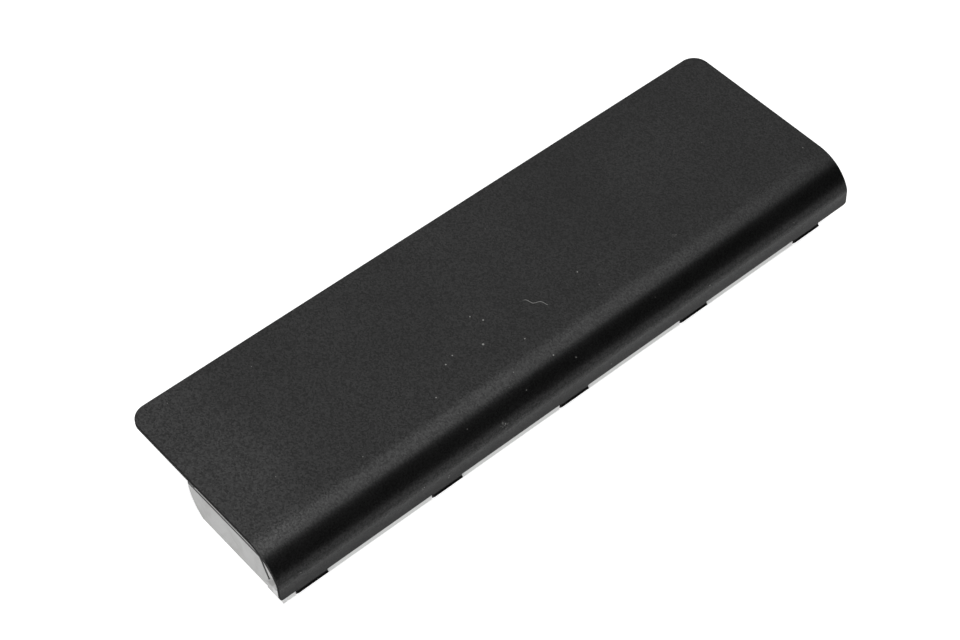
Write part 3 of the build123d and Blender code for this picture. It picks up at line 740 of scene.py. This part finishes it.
class BATTERY_OT_strips(bpy.types.Operator):
    """Finish the welded nickel strips, the paper rings and the card pads at the ends of the cells"""

    bl_idname = "battery.strips"
    bl_label = "Strips, rings and pads"

    def execute(self, context):
        finish = context.scene.battery_cells

        # Nickel: rolling marks along the strip, and four spot welds on each cell
        rolling_width = 0.15 * mm
        rolling_share = 0.1
        weld_depth = 0.08 * mm
        material, sheet, shader = new_finish("nickel")
        place = sheet.place()
        local = sheet.parts(sheet.moved(place, (0, valley, cell_height)))
        to_axis = sheet.math("SUBTRACT", sheet.math("ABSOLUTE", local["Y"]), row_half)
        offsets = []
        for away in (to_axis, local["Z"]):
            offsets.append(sheet.math("SUBTRACT", sheet.math("ABSOLUTE", away), finish.weld_spread))
        weld = sheet.step(sheet.hypotenuse(*offsets), finish.weld, 0.3 * finish.weld)
        stretch = sheet.node("ShaderNodeMapping", {"Vector": place, "Scale": (1, 0.04, 1)})
        rolled = sheet.noise(stretch.outputs["Vector"], rolling_width, 2.0)
        bright = sheet.blend(rolled, paint(finish.nickel, 0.85), paint(finish.nickel))
        sheet.feed(shader.inputs["Base Color"], sheet.blend(weld, bright, paint(finish.nickel, 0.45)))
        shader.inputs["Metallic"].default_value = 1.0
        sheet.feed(shader.inputs["Roughness"], sheet.math("MULTIPLY_ADD", rolled, 0.2, 0.22))
        marks = sheet.math("MULTIPLY", rolled, rolling_share)
        sheet.bump(shader, sheet.math("SUBTRACT", marks, weld), weld_depth)
        dress(strip_names, material)

        # Paper rings and card pads: pressed fibres
        fibre_width = 0.6 * mm
        fibre_depth = 0.03 * mm
        blotch_width = 4 * mm
        papers = (
            ("ring_paper", finish.paper, "insulator_rings"),
            ("pad_card", finish.card, "end_insulators"),
        )
        for slot, colour, piece in papers:
            material, sheet, shader = new_finish(slot)
            place = sheet.place()
            fibres = sheet.noise(place, fibre_width, 4.0)
            blotches = sheet.group("stains", {"Vector": place, "Patch": blotch_width})["Mask"]
            tone = sheet.math("MULTIPLY_ADD", blotches, 0.4, sheet.math("MULTIPLY", fibres, 0.6))
            paper = sheet.blend(tone, paint(colour), paint(colour, 0.82))
            sheet.feed(shader.inputs["Base Color"], paper)
            sheet.feed(shader.inputs["Roughness"], sheet.math("MULTIPLY_ADD", fibres, 0.2, 0.7))
            sheet.bump(shader, fibres, fibre_depth)
            dress([piece], material)
        return {"FINISHED"}


def finish_body(name, colour, pieces, grain, roughness):
    """A moulded body: a colour with a slow tone, and fine grain."""
    depth_share = 0.05
    material, sheet, shader = new_finish(name)
    place = sheet.place()
    skin = sheet.group("moulded_grain", {"Vector": place, "Grain": grain})
    body = sheet.blend(skin["Tone"], paint(colour, 0.75), paint(colour))
    sheet.feed(shader.inputs["Base Color"], body)
    sheet.feed(shader.inputs["Roughness"], sheet.math("MULTIPLY_ADD", skin["Tone"], 0.1, roughness))
    sheet.bump(shader, skin["Height"], depth_share * grain)
    dress(pieces, material)
    return sheet, shader, place, body


def tin_over(sheet, shader, body, mask, tin):
    """Lays bright tin over a body where a mask holds."""
    sheet.feed(shader.inputs["Base Color"], sheet.blend(mask, body, paint(tin)))
    sheet.feed(shader.inputs["Metallic"], mask)


def tin_ends(sheet, shader, place, body, node_name, cap, tin):
    """Tins the last stretch at both ends of one piece that lies along X."""
    low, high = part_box(node_name)
    inputs = {
        "Vector": place,
        "Middle": (low[0] + high[0]) / 2,
        "Reach": (high[0] - low[0]) / 2 - cap,
    }
    tin_over(sheet, shader, body, sheet.group("both_ends", inputs)["Mask"], tin)


class BATTERY_OT_board(bpy.types.Operator):
    """Finish the circuit board and the chips, fuse, resistor, capacitors and thermistor on it"""

    bl_idname = "battery.board"
    bl_label = "Circuit board"

    def execute(self, context):
        finish = context.scene.battery_board

        # Board: lacquered tracks along X, broken here and there, and bare laminate at the cut edges
        track_edge = 0.24 * finish.track_pitch
        track_top = 0.28 * finish.track_pitch
        break_width = 0.8 * mm
        track_depth = 0.03 * mm
        material, sheet, shader = new_finish("board_laminate")
        place = sheet.place()
        lanes = sheet.math("PINGPONG", sheet.parts(place)["Y"], finish.track_pitch / 2)
        track = sheet.step(lanes, track_edge, track_top)
        runs = sheet.node("ShaderNodeMapping", {"Vector": place, "Scale": (0.12, 1, 1)})
        whole = sheet.step(sheet.noise(runs.outputs["Vector"], break_width, 0.0), 0.45, 0.48)
        copper = sheet.both(track, whole)
        cut = sheet.step(sheet.math("ABSOLUTE", sheet.facing()["Z"]), 0.6, 0.4)
        lacquer = sheet.blend(copper, paint(finish.mask), paint(finish.track))
        sheet.feed(shader.inputs["Base Color"], sheet.blend(cut, lacquer, paint(finish.laminate)))
        sheet.feed(shader.inputs["Roughness"], sheet.math("MULTIPLY_ADD", cut, 0.4, 0.3))
        sheet.bump(shader, copper, track_depth)
        dress(["protection_board"], material)

        # Chips in black epoxy
        chips = ["gauge_chip", "guard_chip", "switch_transistors"]
        finish_body("chip_epoxy", finish.epoxy, chips, 0.12 * mm, 0.5)

        # Resistor between tinned ends, and fuse between metal caps
        capped = (
            ("resistor_film", finish.epoxy, "sense_resistor", 0.12 * mm, 0.4, 1.1 * mm),
            ("fuse_ceramic", finish.ceramic, "chemical_fuse", 0.15 * mm, 0.45, 1.2 * mm),
        )
        for slot, colour, piece, grain, roughness, cap in capped:
            sheet, shader, place, body = finish_body(slot, colour, [piece], grain, roughness)
            tin_ends(sheet, shader, place, body, piece, cap, finish.tin)

        # Capacitors: tinned ends on each one of the row
        length = 1.6 * mm
        cap = 0.35 * mm
        pieces = ["chip_capacitors"]
        low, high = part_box("chip_capacitors")
        pitch = (high[0] - low[0] - length) / 2
        sheet, shader, place, body = finish_body("capacitor_ceramic", finish.tan, pieces, 0.1 * mm, 0.4)
        along = sheet.math("SUBTRACT", sheet.parts(place)["X"], (low[0] + high[0]) / 2)
        from_middle = sheet.math("ABSOLUTE", sheet.math("WRAP", along, pitch / 2, -pitch / 2))
        caps = sheet.math("GREATER_THAN", from_middle, length / 2 - cap)
        tin_over(sheet, shader, body, caps, finish.tin)

        # Thermistor: a dipped bead on two tinned legs
        leg_height = 2.2 * mm
        pieces = ["thermistor"]
        leg_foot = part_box("thermistor")[0][2]
        sheet, shader, place, body = finish_body("bead_epoxy", finish.bead, pieces, 0.4 * mm, 0.2)
        legs = sheet.math("LESS_THAN", sheet.parts(place)["Z"], leg_foot + leg_height)
        tin_over(sheet, shader, body, legs, finish.tin)
        return {"FINISHED"}


class BATTERY_OT_leads(bpy.types.Operator):
    """Finish both leads, bare at their ends, and the thermal cut-off"""

    bl_idname = "battery.leads"
    bl_label = "Leads and cut-off"

    def execute(self, context):
        finish = context.scene.battery_leads
        tin = context.scene.battery_board.tin

        # Leads: bare strands where a lead is thin
        leads = (
            ("lead_black", finish.black, "negative_lead"),
            ("lead_red", finish.red, "positive_lead"),
        )
        for slot, colour, piece in leads:
            low, high = (Vector(corner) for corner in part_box(piece))
            sheet, shader, place, body = finish_body(slot, colour, [piece], 0.3 * mm, 0.45)
            local = sheet.parts(sheet.moved(place, (low + high) / 2))
            radius = sheet.hypotenuse(local["Y"], local["Z"])
            bare = sheet.step(radius, finish.bare_radius, 0.9 * finish.bare_radius)
            tin_over(sheet, shader, body, bare, tin)

        # Cut-off between flat tinned legs
        leg_length = 5.9 * mm
        pieces = ["thermal_cutoff"]
        sheet, shader, place, body = finish_body("cutoff_body", finish.cutoff, pieces, 0.2 * mm, 0.5)
        tin_ends(sheet, shader, place, body, "thermal_cutoff", leg_length, tin)
        return {"FINISHED"}


class BATTERY_OT_connector(bpy.types.Operator):
    """Finish the slotted connector and its plated contacts"""

    bl_idname = "battery.connector"
    bl_label = "Connector"

    def execute(self, context):
        worn_patch = 1.2 * mm
        finish = context.scene.battery_connector
        finish_body("connector_plastic", finish.plastic, ["connector_housing"], 0.2 * mm, 0.42)
        material, sheet, shader = new_finish("contact_gold")
        place = sheet.place()
        worn = sheet.group("stains", {"Vector": place, "Patch": worn_patch})["Mask"]
        gold = sheet.blend(worn, paint(finish.gold), paint(finish.gold, 0.8))
        sheet.feed(shader.inputs["Base Color"], gold)
        shader.inputs["Metallic"].default_value = 1.0
        sheet.feed(shader.inputs["Roughness"], sheet.math("MULTIPLY_ADD", worn, 0.2, 0.18))
        dress(["connector_contacts"], material)
        return {"FINISHED"}


def soft_lamp(scene, name, place, aim, size, power):
    """A rectangular soft lamp at a place, turned towards a point."""
    data = bpy.data.lights.new(name, "AREA")
    data.shape = "RECTANGLE"
    data.size, data.size_y = size
    data.energy = power
    lamp = bpy.data.objects.new(name, data)
    lamp.location = place
    lamp.rotation_euler = (Vector(aim) - Vector(place)).to_track_quat("-Z", "Y").to_euler()
    scene.collection.objects.link(lamp)


def level_lamp(scene, name, place, size, power):
    """A soft lamp that hangs level and shines straight down."""
    soft_lamp(scene, name, place, (place[0], place[1], 0), size, power)


class BATTERY_OT_stage(bpy.types.Operator):
    """Set the white floor, the lamps and the camera"""

    bl_idname = "battery.stage"
    bl_label = "White studio"

    def execute(self, context):
        studio = context.scene.battery_studio
        scene = context.scene
        scene.view_settings.view_transform = "Standard"

        # Floor: white to the camera, dimmer in reflections, shaded by the pack and just clear of it
        floor_level = -0.05 * mm
        half = studio.floor
        corners = [(x * half, y * half, floor_level) for x, y in ((-1, -1), (1, -1), (1, 1), (-1, 1))]
        mesh = bpy.data.meshes.new("floor")
        mesh.from_pydata(corners, [], [(0, 1, 2, 3)])
        floor = bpy.data.objects.new("floor", mesh)
        scene.collection.objects.link(floor)
        material, sheet, shader = new_finish("white_floor")
        shader.inputs["Base Color"].default_value = (0.85, 0.85, 0.85, 1)
        shader.inputs["Roughness"].default_value = 0.9
        path = sheet.tree.nodes.new("ShaderNodeLightPath").outputs
        mirrored = sheet.either(path["Is Glossy Ray"], path["Is Transmission Ray"])
        dimmed = sheet.math("MULTIPLY", mirrored, studio.floor_mirror)
        seen = sheet.either(path["Is Camera Ray"], dimmed)
        shader.inputs["Emission Color"].default_value = (1, 1, 1, 1)
        sheet.feed(shader.inputs["Emission Strength"], sheet.math("MULTIPLY", seen, studio.floor_glow))
        mesh.materials.append(material)

        # Dark room, with level soft lamps overhead and behind, and one at the near corner
        world = bpy.data.worlds.new("room")
        world.use_nodes = True
        light = world.node_tree.nodes["Background"].inputs
        light["Color"].default_value = (1, 1, 1, 1)
        light["Strength"].default_value = studio.room
        scene.world = world
        level_lamp(scene, "overhead", (0.10, -0.17, 0.80), (1.10, 0.58), studio.overhead)
        level_lamp(scene, "back", (0.35, 0.60, 0.80), (1.30, 0.96), studio.back)
        soft_lamp(scene, "side", (-1.10, -0.90, 0.80), (0, 0, 0), (2.0, 1.5), studio.side)

        # Camera, turned by its azimuth and elevation
        data = bpy.data.cameras.new("camera")
        data.lens = studio.lens
        data.sensor_width = 36.0
        camera = bpy.data.objects.new("camera", data)
        right = Vector((math.cos(studio.azimuth), math.sin(studio.azimuth), 0))
        level_back = Vector((math.sin(studio.azimuth), -math.cos(studio.azimuth), 0))
        backward = level_back * math.cos(studio.elevation)
        backward.z = math.sin(studio.elevation)
        turn = Matrix((right, backward.cross(right), backward)).transposed().to_4x4()
        camera.matrix_world = Matrix.Translation(studio.place) @ turn
        scene.collection.objects.link(camera)
        scene.camera = camera
        return {"FINISHED"}


class BATTERY_PT_sidebar(bpy.types.Panel):
    """Lists the finishes of the battery"""

    bl_label = "Battery"
    bl_idname = "BATTERY_PT_sidebar"
    bl_space_type = "VIEW_3D"
    bl_region_type = "UI"
    bl_category = "Battery"

    def draw(self, context):
        for operator in operators:
            self.layout.operator(operator.bl_idname)


groups = {
    "battery_cover": CoverFinish,
    "battery_case": CaseFinish,
    "battery_cells": CellFinish,
    "battery_board": BoardFinish,
    "battery_leads": LeadFinish,
    "battery_connector": ConnectorFinish,
    "battery_studio": Studio,
}
operators = (
    BATTERY_OT_effects,
    BATTERY_OT_cover,
    BATTERY_OT_case,
    BATTERY_OT_cells,
    BATTERY_OT_strips,
    BATTERY_OT_board,
    BATTERY_OT_leads,
    BATTERY_OT_connector,
    BATTERY_OT_stage,
)
classes = (*groups.values(), *operators, BATTERY_PT_sidebar)


def register():
    """Registers the classes and hangs the settings on the scene."""
    for cls in classes:
        bpy.utils.register_class(cls)
    for name, group in groups.items():
        setattr(bpy.types.Scene, name, bpy.props.PointerProperty(type=group))


def unregister():
    """Takes the settings and the classes away again."""
    for name in groups:
        delattr(bpy.types.Scene, name)
    for cls in reversed(classes):
        bpy.utils.unregister_class(cls)


def main():
    """Dresses the pack and sets the stage."""
    register()
    for operator in operators:
        category, action = operator.bl_idname.split(".")
        getattr(getattr(bpy.ops, category), action)()


if __name__ == "__main__":
    main()
